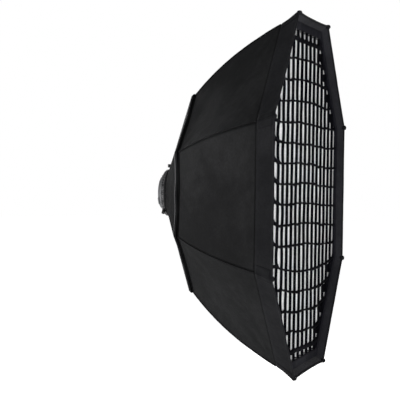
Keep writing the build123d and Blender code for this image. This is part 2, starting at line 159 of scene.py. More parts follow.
def maths(tree, operation, *values, clamp=False):
    node = tree.nodes.new("ShaderNodeMath")
    node.operation = operation
    node.use_clamp = clamp
    for socket, value in zip(node.inputs, values):
        feed(tree, socket, value)
    return node.outputs[0]


def remap(tree, value, low, high, toLow=0.0, toHigh=1.0, smooth=True):
    node = tree.nodes.new("ShaderNodeMapRange")
    node.interpolation_type = "SMOOTHSTEP" if smooth else "LINEAR"
    for index, item in enumerate((value, low, high, toLow, toHigh)):
        feed(tree, node.inputs[index], item)
    return node.outputs[0]


def noiseNode(tree, vector, scale, detail=3.0, rough=0.55):
    node = tree.nodes.new("ShaderNodeTexNoise")
    for label, value in (("Vector", vector), ("Scale", scale), ("Detail", detail), ("Roughness", rough)):
        feed(tree, node.inputs[label], value)
    return node.outputs["Fac"]


def splitVector(tree, vector):
    node = tree.nodes.new("ShaderNodeSeparateXYZ")
    tree.links.new(vector, node.inputs[0])
    return node.outputs


def makeWeave():
    # plain weave: threads over and under, from a cloth's own flat measure
    group, given, out = newGroup("plainWeave", {"Threads": 900.0}, ("Height", "Tone"))
    split = splitVector(group, given["Vector"])
    waves = []
    for axis in ("X", "Y"):
        turns = maths(group, "MULTIPLY", split[axis], given["Threads"])
        waves.append(maths(group, "SINE", maths(group, "MULTIPLY", turns, math.pi)))
    over = maths(group, "MULTIPLY", *waves)
    group.links.new(maths(group, "MULTIPLY_ADD", over, 0.5, 0.5), out["Height"])
    slub = noiseNode(group, given["Vector"], 130.0, 2.0)
    group.links.new(remap(group, slub, 0.3, 0.7), out["Tone"])
    return group


def makeMottle():
    # slow change of tone over a surface, with a finer one on top
    group, given, out = newGroup("slowMottle", {"Scale": 4.0, "Fine": 0.35}, ("Mask",))
    broad = noiseNode(group, given["Vector"], given["Scale"], 2.0)
    fine = noiseNode(group, given["Vector"], maths(group, "MULTIPLY", given["Scale"], 9.0), 4.0, 0.65)
    spread = maths(group, "MULTIPLY", maths(group, "SUBTRACT", fine, 0.5), given["Fine"])
    group.links.new(remap(group, maths(group, "ADD", broad, spread), 0.3, 0.7), out["Mask"])
    return group


def makeDust():
    # specks and lint that settle on cloth and paint
    group, given, out = newGroup("lintSpecks", {"Amount": 0.2}, ("Mask",))
    cells = group.nodes.new("ShaderNodeTexVoronoi")
    cells.inputs["Scale"].default_value = 160.0
    group.links.new(given["Vector"], cells.inputs["Vector"])
    near = remap(group, cells.outputs["Distance"], 0.05, 0.16, 1.0, 0.0)
    where = remap(group, noiseNode(group, given["Vector"], 23.0, 2.0), 0.58, 0.7)
    mask = maths(group, "MULTIPLY", maths(group, "MULTIPLY", near, where), given["Amount"])
    group.links.new(mask, out["Mask"])
    return group


def makeStitch():
    # a row of stitches beside a seam: x is the distance from the seam and y runs along it, in metres
    group, given, out = newGroup("stitchRow", {"Offset": 0.005, "Width": 0.0009, "Pitch": 0.0042},
                                 ("Thread", "Pucker"))
    split = splitVector(group, given["Vector"])
    away = maths(group, "ABSOLUTE", maths(group, "SUBTRACT", split["X"], given["Offset"]))
    line = maths(group, "SUBTRACT", 1.0, maths(group, "DIVIDE", away, given["Width"]), clamp=True)
    turns = maths(group, "DIVIDE", split["Y"], given["Pitch"])
    wave = maths(group, "SINE", maths(group, "MULTIPLY", turns, 2 * math.pi))
    dash = remap(group, wave, -0.45, 0.0)
    group.links.new(maths(group, "MULTIPLY", line, dash), out["Thread"])
    wide = remap(group, away, 0.0, 0.006, 1.0, 0.0)
    rise = maths(group, "MULTIPLY_ADD", wave, 0.3, 0.5)
    group.links.new(maths(group, "MULTIPLY", wide, rise), out["Pucker"])
    return group


def makeWear():
    # rubbed outer edges of metal and plastic
    group, given, out = newGroup("edgeRub", {"Pointiness": 0.5, "Amount": 0.6}, ("Mask",))
    sharp = remap(group, given["Pointiness"], 0.505, 0.56)
    broken = remap(group, noiseNode(group, given["Vector"], 260.0, 4.0, 0.7), 0.4, 0.62)
    mask = maths(group, "MULTIPLY", maths(group, "MULTIPLY", sharp, broken), given["Amount"])
    group.links.new(mask, out["Mask"])
    return group


groups = {
    "weave": makeWeave(),
    "mottle": makeMottle(),
    "dust": makeDust(),
    "stitch": makeStitch(),
    "wear": makeWear(),
}
print("shader groups made")


def place(tree, key, vector, **values):
    node = tree.nodes.new("ShaderNodeGroup")
    node.node_tree = groups[key]
    tree.links.new(vector, node.inputs["Vector"])
    for label, value in values.items():
        feed(tree, node.inputs[label], value)
    return node


def blendColours(tree, mask, first, second):
    node = tree.nodes.new("ShaderNodeMix")
    node.data_type = "RGBA"
    tree.links.new(mask, node.inputs["Factor"])
    feed(tree, node.inputs[6], first)  # the colour sockets of a mix node
    feed(tree, node.inputs[7], second)
    return node.outputs[2]


def bump(tree, height, strength, distance, normal=None):
    node = tree.nodes.new("ShaderNodeBump")
    node.inputs["Strength"].default_value = strength
    node.inputs["Distance"].default_value = distance
    tree.links.new(height, node.inputs["Height"])
    if normal is not None:
        tree.links.new(normal, node.inputs["Normal"])
    return node.outputs["Normal"]


def startMaterial(name):
    made = bpy.data.materials.new(name)
    made.use_nodes = True
    tree = made.node_tree
    return made, tree, tree.nodes["Principled BSDF"]


def cloth(name, deep, pale, rough=0.7, threads=900.0, sheen=0.004, stitch=None, thread=(0.014, 0.014, 0.015),
          weaveDepth=0.0002, crumple=0.35, dust=0.12, mottleScale=3.5, specular=0.06, binding=None):
    made, tree, shader = startMaterial(name)
    flat = tree.nodes.new("ShaderNodeUVMap").outputs["UV"]
    solid = tree.nodes.new("ShaderNodeTexCoord").outputs["Object"]
    weave = place(tree, "weave", flat, Threads=threads)
    tone = place(tree, "mottle", solid, Scale=mottleScale, Fine=0.4).outputs["Mask"]
    colour = blendColours(tree, tone, deep, pale)
    darker = tuple(c * 0.72 for c in deep)
    slubs = remap(tree, weave.outputs["Tone"], 0.0, 1.0, 0.0, 0.35)
    colour = blendColours(tree, slubs, colour, darker)
    lint = place(tree, "dust", solid, Amount=dust).outputs["Mask"]
    colour = blendColours(tree, lint, colour, tuple(min(1.0, c + 0.12) for c in pale))
    soft = noiseNode(tree, solid, 26.0, 3.0, 0.5)
    normal = bump(tree, soft, crumple, 0.004)
    if stitch:
        row = place(tree, "stitch", flat, Offset=stitch)
        colour = blendColours(tree, row.outputs["Thread"], colour, thread)
        normal = bump(tree, row.outputs["Pucker"], 0.4, 0.001, normal)
    if binding:  # the piece's own measure of how far it is past the end's black tape and painted shade
        past = tree.nodes.new("ShaderNodeAttribute")
        past.attribute_name = "pastTapeAndShade"
        tapeShadeMask = remap(tree, past.outputs["Fac"], -0.0008, 0.0008, 1.0, 0.0)
        colour = blendColours(tree, tapeShadeMask, colour, binding)
    normal = bump(tree, weave.outputs["Height"], 0.5, weaveDepth, normal)
    tree.links.new(colour, shader.inputs["Base Color"])
    tree.links.new(remap(tree, tone, 0.0, 1.0, rough + 0.06, rough - 0.06), shader.inputs["Roughness"])
    tree.links.new(normal, shader.inputs["Normal"])
    shader.inputs["Sheen Weight"].default_value = sheen
    shader.inputs["Sheen Roughness"].default_value = 0.45
    shader.inputs["Specular IOR Level"].default_value = specular
    return made


def metal(name, base, bare, rough=0.35, metallic=1.0, grain=420.0, rub=0.6, finish=0.25):
    made, tree, shader = startMaterial(name)
    solid = tree.nodes.new("ShaderNodeTexCoord").outputs["Object"]
    point = tree.nodes.new("ShaderNodeNewGeometry").outputs["Pointiness"]
    tone = place(tree, "mottle", solid, Scale=18.0, Fine=0.5).outputs["Mask"]
    colour = blendColours(tree, tone, base, tuple(c * 0.8 for c in base))
    worn = place(tree, "wear", solid, Pointiness=point, Amount=rub).outputs["Mask"]
    colour = blendColours(tree, worn, colour, bare)
    dusty = place(tree, "dust", solid, Amount=0.1).outputs["Mask"]
    colour = blendColours(tree, dusty, colour, (0.35, 0.34, 0.33))
    tree.links.new(colour, shader.inputs["Base Color"])
    fine = noiseNode(tree, solid, grain, 3.0, 0.6)
    tree.links.new(remap(tree, fine, 0.3, 0.7, rough - 0.08, rough + 0.1), shader.inputs["Roughness"])
    tree.links.new(bump(tree, fine, finish, 0.0002), shader.inputs["Normal"])
    if metallic < 1:
        tree.links.new(remap(tree, worn, 0.2, 0.8, metallic, 1.0), shader.inputs["Metallic"])
    else:
        shader.inputs["Metallic"].default_value = 1.0
    return made


clothLooks = {
    "shellCloth": dict(deep=(0.0088, 0.009, 0.0096), pale=(0.014, 0.0143, 0.0152), rough=0.66, stitch=0.0065),
    "silverLining": dict(deep=(0.5, 0.51, 0.53), pale=(0.66, 0.67, 0.69), rough=0.34, threads=420.0, specular=0.9,
                         weaveDepth=0.0004, dust=0.04),
    "lipCloth": dict(deep=(0.0088, 0.009, 0.0104), pale=(0.0138, 0.014, 0.016), rough=0.68, stitch=0.006),
    "coverCloth": dict(deep=(0.0050, 0.0051, 0.0057), pale=(0.0088, 0.009, 0.0096), specular=0.03, stitch=0.006),
    # the rear hem's tape: black binding that also paints the shadow of the gap under the cover's hem
    "bindingTape": dict(deep=(0.0022, 0.0022, 0.0025), pale=(0.004, 0.004, 0.0045), threads=700.0),
    # painted highlight along the folded edge of the cover's hem
    "foldHighlight": dict(deep=(0.12, 0.12, 0.125), pale=(0.22, 0.22, 0.23), rough=0.5, threads=800.0),
    "pipingCord": dict(deep=(0.004, 0.004, 0.0045), pale=(0.008, 0.008, 0.009), rough=0.55, threads=600.0),
    "webbing": dict(deep=(0.0075, 0.0077, 0.009), pale=(0.0125, 0.0127, 0.0145), threads=420.0, weaveDepth=0.0006),
    "elasticBand": dict(deep=(0.012, 0.012, 0.013), pale=(0.022, 0.022, 0.023), rough=0.72, threads=500.0,
                        weaveDepth=0.0006),
    "loopPile": dict(deep=(0.013, 0.013, 0.0155), pale=(0.024, 0.024, 0.028), rough=0.85, threads=1300.0,
                     sheen=0.03, weaveDepth=0.0008),
    "hookPile": dict(deep=(0.6, 0.6, 0.61), pale=(0.72, 0.72, 0.73), threads=700.0, weaveDepth=0.0007),
    "diffuserCloth": dict(deep=(0.8, 0.8, 0.81), pale=(0.87, 0.87, 0.88), rough=0.8, threads=1100.0, sheen=0.05,
                          dust=0.02, mottleScale=2.5),
    "baffleCloth": dict(deep=(0.7, 0.71, 0.72), pale=(0.8, 0.8, 0.81), rough=0.8, threads=1100.0, dust=0.02),
    # the webs' dark ends are binding tape and painted shade where they meet the border
    "gridWeb": dict(deep=(0.86, 0.86, 0.865), pale=(0.95, 0.95, 0.95), rough=0.8, dust=0.03, mottleScale=22.0,
                    binding=(0.003, 0.003, 0.0045)),
    "gridHem": dict(deep=(0.002, 0.002, 0.003), pale=(0.005, 0.005, 0.007), rough=0.8, sheen=0.0, specular=0.02),
    "borderCloth": dict(deep=(0.004, 0.004, 0.0065), pale=(0.008, 0.008, 0.0115), stitch=0.004),
}
metalLooks = {  # and the hard plastics
    "machinedAlloy": dict(base=(0.27, 0.275, 0.285), bare=(0.42, 0.42, 0.42), rough=0.5),
    "zincSteel": dict(base=(0.55, 0.55, 0.56), bare=(0.75, 0.75, 0.75), rough=0.3),
    "drawnTube": dict(base=(0.46, 0.46, 0.48), bare=(0.7, 0.7, 0.7), rough=0.36),
    "springSteel": dict(base=(0.36, 0.36, 0.38), bare=(0.6, 0.6, 0.6), rough=0.33),
    "nickelStud": dict(base=(0.68, 0.67, 0.64), bare=(0.85, 0.85, 0.83), rough=0.2),
    "blackPaint": dict(base=(0.016, 0.016, 0.018), bare=(0.4, 0.4, 0.41), rough=0.45, metallic=0.0, grain=900.0,
                       finish=0.5),
    "mouldedKnob": dict(base=(0.012, 0.012, 0.013), bare=(0.07, 0.07, 0.07), rough=0.5, metallic=0.0,
                        grain=1400.0, rub=0.4, finish=0.4),
    "dippedVinyl": dict(base=(0.014, 0.014, 0.016), bare=(0.05, 0.05, 0.05), rough=0.42, metallic=0.0,
                        grain=300.0, rub=0.3),
    "naturalNylon": dict(base=(0.72, 0.7, 0.62), bare=(0.82, 0.8, 0.74), rough=0.45, metallic=0.0, grain=500.0,
                         rub=0.2),
}
finishes = {key: cloth(key, **look) for key, look in clothLooks.items()}
finishes.update({key: metal(key, **look) for key, look in metalLooks.items()})
print("materials made:", len(finishes))


# mesh tools


def buildPiece(name, points, faces, flats, cloths, slot, node, body="softbox", faceCloths=None):
    mesh = bpy.data.meshes.new(name)
    mesh.from_pydata([tuple(p) for p in points], [], faces)
    layer = mesh.uv_layers.new(name="UVMap")
    for loop in mesh.loops:
        layer.data[loop.index].uv = flats[loop.vertex_index]
    for key in cloths:
        mesh.materials.append(finishes[key])
    for index, polygon in enumerate(mesh.polygons):
        polygon.use_smooth = True
        if faceCloths:
            polygon.material_index = faceCloths[index]
    mesh.update()
    made = bpy.data.objects.new(name, mesh)
    bpy.context.scene.collection.objects.link(made)
    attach(made, body)
    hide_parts(node)
    return made


def surface(rows, columns, pointAt, flatAt):
    # an open sheet, from functions of two shares that run from 0 to 1
    shares = [(i / rows, j / columns) for i in range(rows + 1) for j in range(columns + 1)]
    step = columns + 1
    starts = [i * step + j for i in range(rows) for j in range(columns)]
    faces = [(a + 1, a + step + 1, a + step, a) for a in starts]
    return [pointAt(*share) for share in shares], faces, [flatAt(*share) for share in shares]


def thicken(piece, thick, lining=0):
    solid = piece.modifiers.new("clothThickness", "SOLIDIFY")
    solid.thickness = thick
    solid.offset = 0.0
    solid.material_offset = lining
    solid.use_even_offset = False


def sweep(rings, capped=False):
    # joins rings of equal count into a tube, which closes on itself unless its ends are capped
    points = [p for ring in rings for p in ring]
    count, faces = len(rings[0]), []
    for i in range(len(rings) - capped):
        a, b = i * count, ((i + 1) % len(rings)) * count
        for k in range(count):
            n = (k + 1) % count
            faces.append((a + k, a + n, b + n, b + k))
    if capped:
        faces.append(tuple(range(count)))
        faces.append(tuple(reversed(range((len(rings) - 1) * count, len(rings) * count))))
    return points, faces


def tube(rings, capped, aside, along):
    # a swept tube, with its flat places this far apart round it and along it
    points, faces = sweep(rings, capped)
    count = len(rings[0])
    return points, faces, [(k % count * aside, k // count * along) for k in range(len(points))]


def roundedSection(outline, radius=0.0006, steps=2):
    # softens the corners of a closed outline
    soft = []
    count = len(outline)
    for k in range(count):
        here, before, after = (Vector(outline[i % count]) for i in (k, k - 1, k + 1))
        cut = min(radius, (before - here).length * 0.4, (after - here).length * 0.4)
        a, b = here + (before - here).normalized() * cut, here + (after - here).normalized() * cut
        for step in range(steps + 1):
            t = step / steps
            soft.append(a * (1 - t) ** 2 + here * 2 * t * (1 - t) + b * t ** 2)
    return soft


def bandAround(name, outline, perSide, shift, cloths, slot, node, body="softbox", paint=None):
    # sweeps a closed (x, flat radius) outline round the eight sides, mitred at the corners
    section = roundedSection(outline)
    rings, flats, along = [], [], 0.0
    girth = [0.0]
    for k in range(1, len(section)):
        girth.append(girth[-1] + (section[k] - section[k - 1]).length)
    for side in range(octagon["sides"]):
        for i in range(perSide):
            share = -1 + 2 * i / perSide
            ring = []
            for k, p in enumerate(section):
                x, flatR = p
                if shift:
                    dx, dr = shift(side, share, x, flatR)
                    x, flatR = x + dx, flatR + dr
                ring.append(onSide(side, x, flatToHalf * flatR * share, flatR))
                flats.append((girth[k], along))
            rings.append(ring)
            along += 2 * flatToHalf * section[0].y / perSide
    points, faces = sweep(rings)
    faceCloths = [paint(section[index % len(section)]) for index in range(len(faces))] if paint else None
    return buildPiece(name, points, faces, flats, cloths, slot, node, body, faceCloths)


def stripSection(start, end, depth, thick):
    # closed outline of a strip beside the line from start to end, its middle this deep inside the line
    start, end = Vector(start), Vector(end)
    way = (end - start).normalized()
    inner = Vector((way.y, -way.x))
    a, b = start + inner * depth, end + inner * depth
    half = inner * thick / 2
    return [tuple(a - half), tuple(b - half), tuple(b + half), tuple(a + half)]


def joinParts(parts):
    # several lists of points, faces and flat places as one of each
    points, faces, flats = [], [], []
    for made, joined, laid in parts:
        start = len(points)
        points += made
        faces += [tuple(v + start for v in face) for face in joined]
        flats += laid
    return points, faces, flats


def tubeRing(centre, way, radius, count):
    side = way.cross(Vector((0.31, 0.17, 0.93))).normalized()  # any direction that no tube here runs along
    up = way.cross(side).normalized()
    turns = [2 * math.pi * k / count for k in range(count)]
    return [centre + (side * math.cos(turn) + up * math.sin(turn)) * radius for turn in turns]


# shell panels: stretched between the rods, so each one draws in a little at its middle
shellPanel = {
    "sag": 0.0085,
    "rows": 44,
    "columns": 36,
    "thick": 0.0008,
    "pucker": 0.0007,
    "gather": 0.016,  # how far the puckers reach from a seam
    "cornerPull": 0.0016,
    "cornerGap": 0.02,
    "wave": 0.0016,
}
# pulls that fan out from a panel's front and rear corners: their reach, their number and their depth
cornerFans = {"front": (0.09, 13, 1.0), "rear": (0.07, 11, 0.6)}


def panelPoint(side, along, across):
    x, r = ridgePoint(along)
    share = across * 2 - 1
    flatR = r * toFlat
    reach = flatToHalf * flatR
    tight = (1 - share * share) * math.sin(math.pi * min(1.0, along * 0.96 + 0.02)) ** 0.8
    drop = shellPanel["sag"] * tight
    edge = (1 - abs(share)) * reach
    gather = math.exp(-edge / shellPanel["gather"])
    drop += shellPanel["pucker"] * gather * ripple(along * ridgeLength, 3.0, side, 0.012) * (1 - gather)
    for end, away, phase in (("front", 1 - along, side), ("rear", along, 2 * side)):
        fanReach, folds, deep = cornerFans[end]
        far = math.hypot(away * ridgeLength, edge)
        spread = math.atan2(edge, away * ridgeLength + 1e-6)
        pull = math.exp(-far / fanReach) * (1 - math.exp(-far / shellPanel["cornerGap"]))
        drop += deep * shellPanel["cornerPull"] * pull * math.sin(spread * folds + phase)
    drop += shellPanel["wave"] * tight * ripple(x, share * reach, side + 20, 0.16)
    way = ridgeWay(x)
    return onSide(side, x + drop * way.y, share * reach, flatR - drop * way.x)


def panelFlat(along, across):
    half = toHalfSide * ridgePoint(along)[1]
    return ((1 - abs(across * 2 - 1)) * half, along * ridgeLength)


for side in range(octagon["sides"]):
    made = surface(shellPanel["rows"], shellPanel["columns"],
                   lambda along, across: panelPoint(side, along, across), panelFlat)
    panel = buildPiece(f"shellPanel{side + 1}", *made, ("shellCloth", "silverLining"), "shell_fabric",
                       f"shell_panel_{side + 1}")
    thicken(panel, shellPanel["thick"], lining=1)
print("shell panels made")

# piping sewn into the eight seams
seamPiping = {"radius": 0.0015, "outset": 0.0014, "wobble": 0.0003, "steps": 60, "around": 8, "start": 0.02,
              "run": 0.975}
pipes = []
for side in range(octagon["sides"]):
    angle = cornerAngle(side)
    rings = []
    for i in range(seamPiping["steps"] + 1):
        share = i / seamPiping["steps"]
        x, r = ridgePoint(seamPiping["start"] + seamPiping["run"] * share)
        way = ridgeWay(x)
        wobble = seamPiping["wobble"] * ripple(share * 3, side, 5, 0.08)
        centre = spoke(angle, x - way.y * seamPiping["outset"], r + way.x * seamPiping["outset"] + wobble)
        along = spoke(angle, x + way.x, r + way.y) - spoke(angle, x, r)
        radius = seamPiping["radius"] * (1 + 0.1 * ripple(share * 9, side, 8, 0.05))
        rings.append(tubeRing(centre, along, radius, seamPiping["around"]))
    pipes.append(tube(rings, True, 0.0012, 0.0065))
buildPiece("seamPiping", *joinParts(pipes), ("pipingCord",), "piping", "seam_piping")

# binding round the shell's rear opening: a roll, with its black tape over the cloth behind it, made wide and dark as
# painted shadow of the gap under the cover's hem
rearHem = {"roll": 0.0019, "inset": 0.0018, "tapeAndShadow": 0.0120, "proud": 0.0011, "lap": 0.0008, "under": 0.0001,
           "wave": 0.0004}
hemWay = ridgeWay(rear.x)
rearEdge = Vector(ridgePoint(0.0))
rearEdge.y *= toFlat
hemMiddle = rearEdge - Vector((rearHem["inset"], rearHem["inset"]))
hemOut = Vector((-hemWay.y, hemWay.x))
hemOutline = [
    tuple(hemMiddle + Vector((math.cos(a * math.pi / 4), math.sin(a * math.pi / 4))) * rearHem["roll"])
    for a in (3, 4, 5, 6, 7)
]
shadowTapeEnd = rearEdge + hemWay * rearHem["tapeAndShadow"]
hemOutline += [tuple(shadowTapeEnd + hemOut * rearHem["under"]), tuple(shadowTapeEnd + hemOut * rearHem["proud"])]
hemOutline += [tuple(rearEdge - Vector((rearHem["lap"], 0)) + hemOut * rearHem["proud"])]


def rearHemShift(side, share, x, r):
    return tuple(rearHem["wave"] * ripple(share * 0.2, side, seed, 0.03) for seed in (3, 9))


bandAround("shellRearHem", hemOutline, 24, rearHemShift, ("bindingTape",), "shell_fabric", "shell_rear_hem")

# front lip: the cloth turns outward at the fold and ends in a rolled edge
frontLip = {
    "thick": 0.0024,
    "roll": 0.0026,
    "bow": 0.0022,
    "wave": 0.0017,
    "tug": 0.0050,  # the rods push the corners out
    "tugReach": 0.045,
    "cut": 1.06,  # the cloth's length over the wall's, for the rolled edge
}
lipStart = Vector((fold.x, fold.y * toFlat))
lipEnd = Vector((frameLines["lipFront"][0], frameLines["lipFront"][1] * toFlat))
lipWay = (lipEnd - lipStart).normalized()
lipIn = Vector((lipWay.y, -lipWay.x))
lipLength = (lipEnd - lipStart).length


def lipShift(side, share, x, r):
    # the edge draws in between its corners, and the wall ripples a little
    out = (Vector((x, r)) - lipStart).dot(lipWay) / lipLength
    middle = 1 - share * share
    bow = -frontLip["bow"] * middle * ease(0.0, 1.0, out)
    wave = frontLip["wave"] * middle * ripple(share * 0.22, out * 0.07 + side, 14, 0.05) * ease(0.1, 1.0, out)
    move = bow + wave
    edge = (1 - abs(share)) * flatToHalf * lipEnd.y
    tug = frontLip["tug"] * math.exp(-edge / frontLip["tugReach"]) * ease(0.3, 1.0, out)
    return -lipIn.x * move, tug - lipIn.y * move


lipWall = [lipStart + lipWay * (lipLength - 2 * frontLip["roll"]) * step / 8 for step in range(9)]
lipHalf = lipIn * frontLip["thick"] / 2
lipOutline = [tuple(p - lipHalf) for p in lipWall]
for step in range(7):
    a = math.radians(-120 + 40 * step)
    roll = (lipWay * math.cos(a) + lipIn * math.sin(a)) * frontLip["roll"]
    lipOutline.append(tuple(lipEnd - lipWay * frontLip["roll"] + roll))
lipOutline += [tuple(p + lipHalf) for p in reversed(lipWall)]
lip = bandAround("frontLip", lipOutline, 30, lipShift, ("lipCloth",), "lip_fabric", "front_lip")

# loop tape inside the lip, for the diffuser and the grid
loopTape = {"wide": 0.040, "fromRoll": 0.003, "deep": 0.00185, "thick": 0.0012}
tapeFront = lipLength - 2 * frontLip["roll"] - loopTape["fromRoll"]
tapeOutline = stripSection(lipStart + lipWay * (tapeFront - loopTape["wide"]), lipStart + lipWay * tapeFront,
                           loopTape["deep"], loopTape["thick"])
bandAround("lipLoopTape", tapeOutline, 30, lipShift, ("loopPile",), "loop_tape", "lip_loop_tape")

# webbing patches over the lip's corners, one each side of each seam
cornerPatch = {"reach": 0.026, "thick": 0.0009, "clear": 0.0014, "fromFold": 0.002, "shorter": 0.006, "rows": 8,
               "columns": 6, "soften": 0.00036}


def patchPoint(side, hand, depth, i, j):
    share = hand * (1 - j * cornerPatch["reach"] / (flatToHalf * lipEnd.y))
    along = cornerPatch["fromFold"] + (lipLength - cornerPatch["shorter"]) * i
    where = lipStart + lipWay * along - lipIn * (cornerPatch["clear"] + depth)
    dx, dr = lipShift(side, share, *where)
    x, r = where.x + dx, where.y + dr
    soften = cornerPatch["soften"] * max(0.0, 1 - 4 * min(j, 1 - j, i, 1 - i)) * (depth > 0)
    return onSide(side + 0.5 - 0.5 * hand, x, flatToHalf * r * share, r - soften)


patchRows, patchColumns = cornerPatch["rows"], cornerPatch["columns"]
patchStep = patchColumns + 1
patchRim = list(range(patchStep)) + [patchStep * k + patchColumns for k in range(1, patchRows + 1)]
patchRim += [patchStep * patchRows + k for k in range(patchColumns - 1, -1, -1)]
patchRim += [patchStep * k for k in range(patchRows - 1, 0, -1)]
webbingParts = []
for side in range(octagon["sides"]):
    for hand in (-1, 1):
        outer, inner = (
            surface(patchRows, patchColumns, lambda i, j, d=depth: patchPoint(side, hand, d, i, j),
                    lambda i, j: (i * lipLength, j * cornerPatch["reach"]))
            for depth in (cornerPatch["thick"], 0.0)
        )
        count = len(outer[0])
        faces = [tuple(reversed(f)) for f in outer[1]] + [tuple(v + count for v in f) for f in inner[1]]
        for k in range(len(patchRim)):
            a, b = patchRim[k], patchRim[(k + 1) % len(patchRim)]
            faces.append((a, b, b + count, a + count))
        webbingParts.append((outer[0] + inner[0], faces, outer[2] + inner[2]))
# a folded tab of the same webbing shows in front of the lip's edge at each corner
cornerTab = {"long": 0.016, "across": 0.0085, "tall": 0.0065, "front": 0.0062, "inset": 0.0058, "rings": 9,
             "around": 12}
for side in range(octagon["sides"]):
    angle = cornerAngle(side)
    tangent = Vector((0, -math.cos(angle), -math.sin(angle)))
    outWay = spoke(angle, 0.0, 1.0)
    rings = []
    for i in range(cornerTab["rings"]):
        share = i / (cornerTab["rings"] - 1)
        grow = max(0.15, 1 - (2 * share - 1) ** 4) ** 0.5
        middle = spoke(angle, lipEnd.x + cornerTab["front"] - cornerTab["long"] * (1 - share),
                       frameLines["lipFront"][1] + frontLip["tug"] - cornerTab["inset"])
        rings.append([
            middle + tangent * math.cos(turn) * cornerTab["across"] * grow
            + outWay * math.sin(turn) * cornerTab["tall"] * grow
            for turn in (2 * math.pi * k / cornerTab["around"] for k in range(cornerTab["around"]))
        ])
    webbingParts.append(tube(rings, True, 0.004, 0.003))
buildPiece("cornerPatches", *joinParts(webbingParts), ("webbing",), "webbing", "corner_patches")
print("lip made")

# rear cover: a loose shallow cone over the arms, its hem free of the shell
rearCover = {
    "ringRadius": 0.0795,
    "neck": (0.0208, 0.0862),
    "outer": (0.1164, 0.3295),
    "thick": 0.0009,
    "dip": 0.0030,
    "slack": 0.0022,
    "fan": 0.0009,
    "pushIn": 0.3,  # how far a push forward also goes inward
    "rows": 30,
    "perSide": 24,
    "cut": 0.66,
}
coverNeck = Vector(rearCover["neck"])
coverOuter = Vector(rearCover["outer"])
coverSpan = coverOuter - coverNeck


def coverShift(side, share, out):
    # forward dip between the arms, plus slack that gathers towards the ring
    middle = 1 - share * share
    dip = rearCover["dip"] * middle * out
    slack = rearCover["slack"] * middle * ripple(share * 0.12, out * 0.2 + side * 3, 31, 0.06)
    fan = rearCover["fan"] * math.sin(share * 17 + side * 2.1) * middle * (1 - ease(0.2, 0.9, out))
    return dip + slack * out + fan


def sideAndShare(around):
    # which of the eight sides this share of a turn is on, and how far across it, from -1 to 1
    turn = around * octagon["sides"]
    side = min(int(turn), octagon["sides"] - 1)
    return side, (turn - side) * 2 - 1


def coverPoint(out, around):
    side, share = sideAndShare(around)
    x, corner = coverNeck + coverSpan * out
    angle = share * octagon["half"]
    eight = corner * toFlat / math.cos(angle)
    rounder = 1 - ease(0.0, 0.16, out)
    r = eight * (1 - rounder) + rearCover["ringRadius"] * rounder + rounder * out * 0.2
    flatR, across = r * math.cos(angle), r * math.sin(angle)
    push = coverShift(side, share, out)
    return onSide(side, x + push, across, flatR - push * rearCover["pushIn"])


def coverFlat(out, around):
    corner = coverNeck.y + coverSpan.y * out
    return ((1 - abs(sideAndShare(around)[1])) * toHalfSide * corner, out * coverSpan.length)


made = surface(rearCover["rows"], octagon["sides"] * rearCover["perSide"], coverPoint, coverFlat)
cover = buildPiece("rearCover", *made, ("coverCloth",), "cover_fabric", "rear_cover")
thicken(cover, rearCover["thick"])

# its bound edge turns forward over the gap behind the shell
coverHem = {"long": 0.0130, "half": 0.0009, "wave": 0.0007, "waveReach": 0.012, "belly": 0.0007,
            "highlightWide": 0.0016, "fromBox": 0.0006}
hemFront = Vector((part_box("rear_cover_hem")[1][0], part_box("rear_cover_hem")[1][2]))
coverEdge = Vector((coverOuter.x + 0.0003, coverOuter.y * toFlat + 0.0004))
turnedWay = (hemFront - Vector((coverHem["fromBox"], coverHem["fromBox"])) - coverEdge).normalized()
turnedIn = Vector((turnedWay.y, -turnedWay.x))
hemLong, hemHalf = coverHem["long"], coverHem["half"]
hemSteps = [(-0.0004, -hemHalf)]  # each one's distance along the turned edge, and inward from its middle
hemSteps += [(hemLong * t, -hemHalf - coverHem["belly"] * math.sin(math.pi * t)) for t in (0.25, 0.5, 0.75)]
hemSteps += [(hemLong, -hemHalf), (hemLong + 0.0004, 0.0004), (hemLong - 0.0030, 0.0007), (0.0, 0.0006)]
hemSection = [tuple(coverEdge + turnedWay * along + turnedIn * deep) for along, deep in hemSteps]


def coverHemShift(side, share, x, r):
    push = coverShift(side, share, 1.0)
    wave = coverHem["wave"] * (1 - share * share) * ripple(share * 0.2, side * 3.7, 71, 0.045)
    return push, -push * rearCover["pushIn"] + wave * ease(coverOuter.x, coverOuter.x + coverHem["waveReach"], x)


def foldHighlightPaint(p):  # painted highlight: pale where the edge is folded, outside
    along, deep = (p - coverEdge).dot(turnedWay), (p - coverEdge).dot(turnedIn)
    return 1 if along < coverHem["highlightWide"] and deep < -0.0002 else 0


bandAround("rearCoverHem", hemSection, 24, coverHemShift, ("coverCloth", "foldHighlight"), "cover_fabric",
           "rear_cover_hem", paint=foldHighlightPaint)
print("rear cover made")

# elastic collar round the speed ring, ribbed across
coverCollar = {
    "section": [(0.0134, 0.0763), (0.0134, 0.0784), (0.0163, 0.0792), (0.0200, 0.0795), (0.0208, 0.0788),
                (0.0192, 0.0763)],
    "ribs": 0.0004,
    "ribCount": 90,
    "around": 160,
}
rings, flats = [], []
section = roundedSection(coverCollar["section"])
ribsFrom = coverCollar["section"][0][1] + 1e-4  # the bore has no ribs
for i in range(coverCollar["around"]):
    angle = 2 * math.pi * i / coverCollar["around"]
    grow = coverCollar["ribs"] * (0.5 + 0.5 * math.sin(angle * coverCollar["ribCount"]))
    rings.append([spoke(angle, p.x, p.y + (grow if p.y > ribsFrom else 0)) for p in section])
    flats += [(k * 0.0015, angle * 0.078) for k in range(len(section))]
buildPiece("coverCollar", *sweep(rings), flats, ("elasticBand",), "elastic", "cover_collar")

